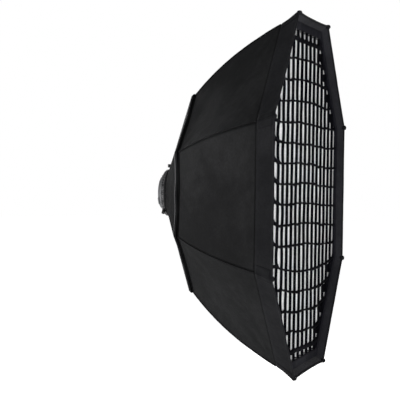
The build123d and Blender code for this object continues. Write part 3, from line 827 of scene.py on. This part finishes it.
# loops sewn round the rods and arms
rodLoop = {"length": 0.014, "inner": 0.0027, "outer": 0.0043}
coverLoop = {"length": 0.012, "inner": 0.0042, "outer": 0.0054, "fromKnuckle": 0.030}
sleeveAround, sleeveSteps = 14, 8


def sleeves(name, places, loop, clothKey, slot, node):
    parts = []
    for centre, way in places:
        steps = [k / sleeveSteps - 0.5 for k in range(sleeveSteps + 1)]
        walls = [(along, loop["outer"] * (1 - 0.09 * abs(2 * along) ** 4)) for along in steps]
        walls += [(along, loop["inner"]) for along in reversed(steps)]
        long = way * loop["length"]
        rings = [tubeRing(centre + long * along, way, radius, sleeveAround) for along, radius in walls]
        parts.append(tube(rings, False, 0.0018, loop["length"] / sleeveSteps))
    buildPiece(name, *joinParts(parts), (clothKey,), slot, node)


baffleX = sum(corner[0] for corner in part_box("inner_baffle")) / 2
loopPlaces, coverPlaces = [], []
for side in range(octagon["sides"]):
    angle = cornerAngle(side)
    inset = frameLines["rodInset"]
    r, way = ridgeAt(baffleX, inset), ridgeWay(baffleX, inset)
    centre = spoke(angle, baffleX, r)
    loopPlaces.append((centre, (spoke(angle, baffleX + way.x, r + way.y) - centre).normalized()))
    foot = knuckle - armWay * coverLoop["fromKnuckle"]
    centre = spoke(angle, foot.x, foot.y)
    coverPlaces.append((centre, (spoke(angle, foot.x + armWay.x, foot.y + armWay.y) - centre).normalized()))
sleeves("rodLoops", loopPlaces, rodLoop, "webbing", "webbing", "rod_loops")
sleeves("coverLoops", coverPlaces, coverLoop, "elasticBand", "elastic", "cover_loops")

# flat octagonal sheets: the inner baffle and the front diffuser
flatSheet = {"thick": 0.0007, "rings": 26, "perSide": 16}
baffle = {"corner": 0.425, "bulge": 0.004, "ripple": 0.0022, "hem": (0.3927, 0.3986), "hemHalf": 0.0017}
diffuser = {"corner": 0.556, "bulge": 0.001, "ripple": 0.0009, "hemWide": 0.026, "hem": (-0.0025, -0.0007)}


def octagonSheet(name, x, cut, clothKey, slot, node, body):
    rings, perSide, bulge = flatSheet["rings"], flatSheet["perSide"], cut["bulge"]
    points, flats, faces = [Vector((x + bulge, 0, 0))], [(0.0, 0.0)], []
    around = octagon["sides"] * perSide
    for i in range(1, rings + 1):
        share = i / rings
        for j in range(around):
            turn = j / perSide
            side = int(turn)
            angle = ((turn - side) * 2 - 1) * octagon["half"]
            r = share * cut["corner"] * toFlat / math.cos(angle)
            whole = angle + side * 2 * octagon["half"]
            y, z = -r * math.sin(whole), r * math.cos(whole)
            lift = bulge * (1 - share ** 2) + cut["ripple"] * ripple(y, z, 3 + x, 0.11) * (1 - share ** 6)
            pull = 0.5 * cut["ripple"] * math.exp(-(1 - share) * 6) * math.sin(turn * math.pi * 14) * (1 - share ** 8)
            points.append(Vector((x + lift + pull, y, z)))
            flats.append((y, z))
    for j in range(around):
        faces.append((0, 1 + (j + 1) % around, 1 + j))
    for i in range(rings - 1):
        a, b = 1 + i * around, 1 + (i + 1) * around
        for j in range(around):
            n = (j + 1) % around
            faces.append((a + j, a + n, b + n, b + j))
    piece = buildPiece(name, points, faces, flats, (clothKey,), slot, node, body)
    thicken(piece, flatSheet["thick"])


def boxSection(back, front, inner, outer):
    return [(back, inner), (back, outer), (front, outer), (front, inner)]


octagonSheet("innerBaffle", baffleX, baffle, "baffleCloth", "baffle_fabric", "inner_baffle", "baffle")
baffleHem = boxSection(baffleX - baffle["hemHalf"], baffleX + baffle["hemHalf"], *baffle["hem"])
bandAround("baffleHem", baffleHem, 16, None, ("baffleCloth",), "baffle_fabric", "baffle_hem", "baffle")
strap = {"start": 0.4321, "end": 0.4466, "width": 0.014, "thick": 0.002, "ribDepth": 0.18}
strapParts = []
for side in range(octagon["sides"]):
    angle = cornerAngle(side)
    across = Vector((0, -math.cos(angle), -math.sin(angle)))
    rings = []
    for i in range(9):
        r = strap["start"] + (strap["end"] - strap["start"]) * i / 8
        centre = spoke(angle, baffleX, r)
        waist = strap["width"] / 2 * (1 - 0.05 * math.sin(math.pi * i / 8))
        ring = []
        for hand, ribs in ((1, range(9)), (-1, range(8, -1, -1))):
            for k in ribs:
                rib = hand * strap["thick"] / 2 * (1 - strap["ribDepth"] * (k % 2))
                ring.append(centre + across * waist * (k / 4 - 1) + Vector((rib, 0, 0)))
        rings.append(ring)
    strapParts.append(tube(rings, True, 0.0017, 0.0018))
buildPiece("baffleStraps", *joinParts(strapParts), ("elasticBand",), "elastic", "baffle_straps", "baffle")

diffuserX = sum(corner[0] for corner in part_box("front_diffuser")) / 2
octagonSheet("frontDiffuser", diffuserX, diffuser, "diffuserCloth", "diffuser_fabric", "front_diffuser", "diffuser")
diffuserFlat = diffuser["corner"] * toFlat
diffuserHem = boxSection(diffuserX + diffuser["hem"][0], diffuserX + diffuser["hem"][1],
                         diffuserFlat - diffuser["hemWide"], diffuserFlat)
bandAround("diffuserHem", diffuserHem, 16, None, ("hookPile",), "hook_tape", "diffuser_hem", "diffuser")
print("baffle and diffuser made")

# grid: crossing cloth strips with a black front hem, slack between their crossings
gridCloth = {
    "pitch": 0.0643,
    "uprights": 15,
    "crossStrips": 16,
    "flat": 0.5126,
    "hem": {"upright": 0.0088, "cross": 0.0088},
    "hemHalf": {"upright": 0.0011, "cross": 0.0024},
    "tack": {"all": 0.45, "pulled": 1.2, "knot": 1.5, "knotAt": -0.414, "reach": 0.007},
    "webHalf": 0.0005,
    "blunt": (0.0003, 0.0009),  # where a hem's front edge starts, and where it is full thickness
    "fold": 0.0004,  # from the hem's end to the bare web
    "webRows": (0.010, 0.012),  # extra rows of points behind the hem, and in front of the back edge
    "endGap": 0.0008,
    "endClear": 0.004,
    "drift": 0.0032,
    "jitter": 0.0046,
    "bow": 0.0050,
    "scallop": 0.0062,
    "samples": 8,
    "backShare": 0.35,
    "hemRoll": 0.6,
    # lengths of the dark band at the uprights' ends, tape and painted shade: least, and most at the slanting sides
    "binding": (0.003, 0.040),
    "endRows": 2.4,  # the first and last cross strips have wider hems
}
# how far the cross strips hang off their even places, and what of it changes with height
gridHang = {
    "halfWide": 0.36,
    "twist": 0.007,
    "twistByHeight": 0.032,
    "drop": 0.002,
    "dropByHeight": 0.017,
    "middle": 0.006,
    "middleTop": 0.014,
    "middleLow": 0.024,
    "edgePull": 0.019,
}
gridLow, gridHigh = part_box("grid_lattice")


def seat(index, upright):
    count = gridCloth["uprights"] if upright else gridCloth["crossStrips"]
    return (index - (count - 1) / 2) * gridCloth["pitch"]


def reach(across):
    # half the length of a strip that runs this far from the middle
    return min(gridCloth["flat"], gridCloth["flat"] * math.sqrt(2) - abs(across)) - gridCloth["endGap"]


def slantRoom(y, z):
    # how far a place is from the nearest slanting side
    return (gridCloth["flat"] * math.sqrt(2) - abs(y) - abs(z)) * 0.7


def slip(y, z):
    # how far a cross strip hangs above or below its even place: the cloth twists a little from side to side, the
    # lower middle has dropped, and the seams near the -Y edge pull upward
    hang, wide = gridHang, gridHang["halfWide"]
    twist = -y / wide * (hang["twist"] - hang["twistByHeight"] * z) - hang["drop"] - hang["dropByHeight"] * z
    middle = hang["middle"] + hang["middleTop"] * ease(0.15, 0.45, z) - hang["middleLow"] * ease(-0.15, -0.22, z)
    dropped = max(0.0, 1 - (y / wide) ** 2) * middle
    pulled = hang["edgePull"] * ease(-wide, -0.47, y) * ease(0.38, 0.24, abs(z))
    return (twist + dropped + pulled) * ease(0.0, 0.07, min(gridCloth["flat"] - abs(z), slantRoom(y, z)))


def crossing(i, j):
    # where strip i and strip j meet, and how far the slack moves their front edges there
    y, z = seat(i, True), seat(j, False)
    room = ease(0.0, 0.05, min(gridCloth["flat"] - abs(y), gridCloth["flat"] - abs(z), slantRoom(y, z)) + 0.012)
    dy = gridCloth["drift"] * 1.2 * ripple(y, z, 41, 0.27) + gridCloth["jitter"] * 0.8 * ripple(y, z, 43, 0.037)
    dz = gridCloth["drift"] * 1.5 * ripple(y, z, 47, 0.24) + gridCloth["jitter"] * ripple(y, z, 49, 0.037)
    return Vector((y, z + slip(y, z))), Vector((dy, dz)) * room


def stripEnd(index, upright, hand):
    across = seat(index, upright)
    if upright:
        return Vector((across, hand * reach(across)))
    z = across + slip(hand * reach(across), across)
    return Vector((hand * reach(z), z))


def stripPath(index, upright):
    # the strip's places and their slack, end to end
    lead, clear = 1 if upright else 0, gridCloth["endClear"]
    first, last = stripEnd(index, upright, -1), stripEnd(index, upright, 1)
    stops = [(first, Vector((0, 0)))]
    for other in range(gridCloth["crossStrips"] if upright else gridCloth["uprights"]):
        spot, move = crossing(index, other) if upright else crossing(other, index)
        if first[lead] + clear < spot[lead] < last[lead] - clear:
            stops.append((spot, move))
    stops.append((last, Vector((0, 0))))
    path = []
    for k in range(len(stops) - 1):
        (a, moveA), (b, moveB) = stops[k], stops[k + 1]
        span = (b - a).length / gridCloth["pitch"]
        swing = noise.noise(Vector((index * 1.7, k * 2.3, 5.0 if upright else 9.0))) * 1.7
        if upright:
            near = ease(-0.20, -0.45, seat(index, True))
            amount = gridCloth["bow"] * swing * (0.8 + 1.5 * near) * span ** 1.5
        else:
            amount = gridCloth["scallop"] * (swing * 0.7 - 0.35) * span ** 1.5
        for step in range(gridCloth["samples"]):
            t = step / gridCloth["samples"]
            bow = amount * (4 * t * (1 - t)) ** 0.8 if 0 < t < 1 else 0.0
            side = Vector((bow, 0)) if upright else Vector((0, bow))
            path.append((a.lerp(b, t), moveA.lerp(moveB, t * t * (3 - 2 * t)) + side))
    path.append((last, Vector((0, 0))))
    return path


def pastTapeAndShade(spot, deep, upright):
    # distance past the dark band at an upright's ends: black binding tape, widened as painted shade that slants with
    # depth where they meet the slanting sides
    if not upright:
        return 0.05
    least, most = gridCloth["binding"]
    slant = ease(0.19, 0.25, abs(spot.x))
    share = 1 - deep if spot.x > 0 else deep
    return reach(spot.x) - abs(spot.y) - least - (most - least) * slant * share


def tacked(y):
    # a cross strip's hem is thicker where it is tacked to an upright, most where the seams pull upward
    tack = gridCloth["tack"]
    nearest = seat(round(y / gridCloth["pitch"] + (gridCloth["uprights"] - 1) / 2), True)
    swell = tack["pulled"] if y < -gridHang["halfWide"] else tack["all"]
    grow = swell * math.exp(-((y - nearest) / tack["reach"]) ** 2)
    return 1 + grow + tack["knot"] * math.exp(-((y - tack["knotAt"]) / tack["reach"]) ** 2)


def gridStrips(name, upright):
    parts, cloths, past = [], [], []
    total = 0.0
    front, back = gridHigh[0], gridLow[0]
    key = "upright" if upright else "cross"
    hem, blunt, webRows = gridCloth["hem"][key], gridCloth["blunt"], gridCloth["webRows"]
    stripCount = gridCloth["uprights"] if upright else gridCloth["crossStrips"]
    for index in range(stripCount):
        half = gridCloth["hemHalf"][key]
        if not upright and index in (0, stripCount - 1):
            half *= gridCloth["endRows"]
        thin = gridCloth["webHalf"] / half
        # each level's place, and its share of the hem's thickness: a blunt front edge, the hem, and the web behind it
        levels = [(front - blunt[0], 0.35), (front - blunt[1], 1.0), (front - hem, 1.0)]
        levels += [(front - hem - gap, thin) for gap in (gridCloth["fold"], webRows[0])]
        levels += [(back + webRows[1], thin), (back, thin)]
        count = 2 * len(levels)
        path = stripPath(index, upright)
        rings = []
        for k, (spot, move) in enumerate(path):
            ring = []
            for hand in (1, -1):
                order = levels if hand > 0 else list(reversed(levels))
                for x, share in order:
                    deep = (front - x) / (front - back)
                    hold = 1 + (gridCloth["backShare"] - 1) * ease(0.15, 1.0, deep)
                    if not upright:  # the front hem rolls down where the strip is slack
                        hold -= gridCloth["hemRoll"] * ease(0.0, 1.1 * hem / (front - back), deep) * (deep < 0.9)
                    before, after = path[max(k - 1, 0)], path[min(k + 1, len(path) - 1)]
                    way = ((after[0] + after[1] * hold) - (before[0] + before[1] * hold)).normalized()
                    side = Vector((way.y, -way.x)) * hand * half * share
                    if share == 1.0 and not upright:
                        side *= tacked(spot.x)
                    flat = spot + move * hold + side
                    ring.append(Vector((x, flat.x, flat.y)))
                    past.append(pastTapeAndShade(spot, deep, upright))
            rings.append(ring)
        made, joined = sweep(rings, capped=True)
        laid = [(c * 0.004, total + k * 0.008) for k in range(len(rings)) for c in range(count)]
        parts.append((made, joined, laid))
        hemFaces = (0, 1, count - 3, count - 2, count - 1)  # the hem's front edge and its two sides
        cloths += [0 if len(face) > 4 or number % count in hemFaces else 1 for number, face in enumerate(joined)]
        total += sum((path[k + 1][0] - path[k][0]).length for k in range(len(path) - 1))
    piece = buildPiece(name, *joinParts(parts), ("gridHem", "gridWeb"), "grid_fabric", "grid_lattice", "grid", cloths)
    piece.data.attributes.new("pastTapeAndShade", "FLOAT", "POINT").data.foreach_set("value", past)


gridStrips("gridUprights", True)
gridStrips("gridCrossStrips", False)

# border that the strips are sewn to: a skirt about as deep as they are, and a flange round its front
gridBorder = {"clear": 0.0002, "outer": 0.5365, "thick": 0.0022, "bevel": 0.0002, "short": 0.001, "hem": 0.0085,
              "bow": 0.0006, "wave": 0.0012}
borderInner = gridCloth["flat"] + gridBorder["clear"]
borderFront, borderRear = gridHigh[0], gridLow[0] + gridBorder["short"]
skirtFront = borderFront - gridBorder["thick"]
skirtLine = borderFront - gridBorder["hem"]  # black in front of this, pale behind it, as the strips are


def borderShift(side, share, x, r):
    middle = 1 - share * share
    return -gridBorder["wave"] * middle * ripple(share * 0.2, side, 61, 0.08) - gridBorder["bow"] * middle, 0.0


def skirtPaint(p):
    return 1 if p.x < skirtLine + 0.0002 and p.y < borderInner + 0.0004 else 0


flangeOutline = [(skirtFront, borderInner), (skirtFront, gridBorder["outer"]),
                 (borderFront - gridBorder["bevel"], gridBorder["outer"]), (borderFront, borderInner)]
skirtOutline = boxSection(borderRear, skirtFront, borderInner, borderInner + gridBorder["thick"])
skirtOutline += [(skirtLine, borderInner)]
bandAround("gridBorderFlange", flangeOutline, 24, borderShift, ("borderCloth",), "grid_border_fabric",
           "grid_border", "grid")
bandAround("gridBorderSkirt", skirtOutline, 24, None, ("borderCloth", "gridWeb"), "grid_border_fabric",
           "grid_border", "grid", paint=skirtPaint)
print("grid made")

# finishes of the hard parts that stay as the frame has them
hardParts = {
    "machinedAlloy": ["bayonet_insert", "retaining_ring"],
    "zincSteel": ["retaining_screws", "clamp_screw_1", "clamp_screw_2", "clamp_screw_3"],
    "naturalNylon": ["glide_washer"],
    "blackPaint": ["speed_ring", "rod_knuckles"],
    "mouldedKnob": ["clamp_knob_1", "clamp_knob_2", "clamp_knob_3"],
    "drawnTube": [f"frame_arm_{n}" for n in range(1, 9)],
    "springSteel": [f"spring_rod_{n}" for n in range(1, 9)],
    "dippedVinyl": ["rod_caps"],
    "nickelStud": ["baffle_snaps"],
}
for key, names in hardParts.items():
    for name in names:
        if not nodes[name].material_slots:
            nodes[name].data.materials.append(finishes[key])
        for held in nodes[name].material_slots:
            held.material = finishes[key]
print("hard parts finished")

# studio: pale floor, soft light from above and in front
studio = {
    "floorDrop": 0.55,
    "floorRadius": 30.0,
    "floorSides": 48,
    "floorGlow": 0.12,
    "floorWhite": 0.75,
    "paper": ((0.94, 0.94, 0.94), (0.955, 0.955, 0.955)),
    "sky": 0.28,
}
floorZ = cadBounds[0][2] - studio["floorDrop"]
floorRadius, floorSides = studio["floorRadius"], studio["floorSides"]
turns = [2 * math.pi * k / floorSides for k in range(floorSides)]
floorPoints = [(0.0, 0.0, floorZ)] + [(floorRadius * math.cos(t), floorRadius * math.sin(t), floorZ) for t in turns]
floorMesh = bpy.data.meshes.new("studioFloor")
floorMesh.from_pydata(floorPoints, [], [(0, 1 + k, 1 + (k + 1) % floorSides) for k in range(floorSides)])
floor = bpy.data.objects.new("studioFloor", floorMesh)
bpy.context.scene.collection.objects.link(floor)
floorMaterial, floorTree, floorShader = startMaterial("studioPaper")
floorSpace = floorTree.nodes.new("ShaderNodeTexCoord").outputs["Object"]
paper = remap(floorTree, noiseNode(floorTree, floorSpace, 3.0), 0.2, 0.8)
floorTree.links.new(blendColours(floorTree, paper, *studio["paper"]), floorShader.inputs["Base Color"])
floorShader.inputs["Roughness"].default_value = 0.9
floorShader.inputs["Specular IOR Level"].default_value = 0.1
floorShader.inputs["Emission Color"].default_value = (1.0, 1.0, 1.0, 1.0)


def byCameraRay(tree, lit, seen):
    # one strength for the light that it gives, and another where it is seen straight
    cameraRay = tree.nodes.new("ShaderNodeLightPath").outputs["Is Camera Ray"]
    return remap(tree, cameraRay, 0.0, 1.0, lit, seen, False)


floorTree.links.new(byCameraRay(floorTree, studio["floorGlow"], studio["floorWhite"]),
                    floorShader.inputs["Emission Strength"])
floorMesh.materials.append(floorMaterial)

world = bpy.data.worlds.new("studioWorld")
bpy.context.scene.world = world
world.use_nodes = True
sky = world.node_tree.nodes["Background"]
sky.inputs["Color"].default_value = (1.0, 1.0, 1.0, 1.0)
world.node_tree.links.new(byCameraRay(world.node_tree, studio["sky"], 1.0), sky.inputs["Strength"])

studioLights = {  # each one's place, what it points at, its width and height, and its power
    "keyLight": ((0.8, -4.4, 1.2), (0.25, 0, 0), (2.2, 1.6), 22),
    "frontLight": ((3.2, -2.0, -0.2), (0.46, 0, 0), (1.8, 1.8), 96),
    "backLight": ((-4.6, -0.9, -0.2), (0.1, 0, 0), (1.6, 1.6), 135),
    "fillLight": ((-1.6, 4.4, 1.4), (0.2, 0, 0), (2.2, 2.2), 90),
}
for name, (spot, aim, spread, power) in studioLights.items():
    light = bpy.data.lights.new(name, "AREA")
    light.shape = "RECTANGLE"
    light.size, light.size_y = spread
    light.energy = power
    lamp = bpy.data.objects.new(name, light)
    lamp.location = spot
    lamp.rotation_euler = (Vector(aim) - Vector(spot)).to_track_quat("-Z", "Y").to_euler()
    bpy.context.scene.collection.objects.link(lamp)
bpy.context.scene.view_settings.view_transform = "Standard"
bpy.context.scene.view_settings.look = "None"

# camera
viewpoint = {
    "place": (1.42487, -4.68603, 0.08069),
    "azimuth": 15.6325,
    "elevation": 1.2167,
    "roll": 0.7735,
    "lens": 135.31,
    "sensor": 36.0,
}
azimuth, elevation, roll = (math.radians(viewpoint[k]) for k in ("azimuth", "elevation", "roll"))
backWay = Vector((math.sin(azimuth) * math.cos(elevation), -math.cos(azimuth) * math.cos(elevation),
                  math.sin(elevation)))
rightWay = (-backWay).cross(Vector((0, 0, 1))).normalized()
upWay = rightWay.cross(-backWay)
right = rightWay * math.cos(roll) + upWay * math.sin(roll)
up = upWay * math.cos(roll) - rightWay * math.sin(roll)
lens = bpy.data.cameras.new("camera")
lens.lens = viewpoint["lens"]
lens.sensor_width = viewpoint["sensor"]
lens.clip_end = 100.0
camera = bpy.data.objects.new("camera", lens)
camera.matrix_world = Matrix((
    (right.x, up.x, backWay.x, viewpoint["place"][0]),
    (right.y, up.y, backWay.y, viewpoint["place"][1]),
    (right.z, up.z, backWay.z, viewpoint["place"][2]),
    (0, 0, 0, 1),
))
bpy.context.scene.collection.objects.link(camera)
bpy.context.scene.camera = camera
print("studio made")
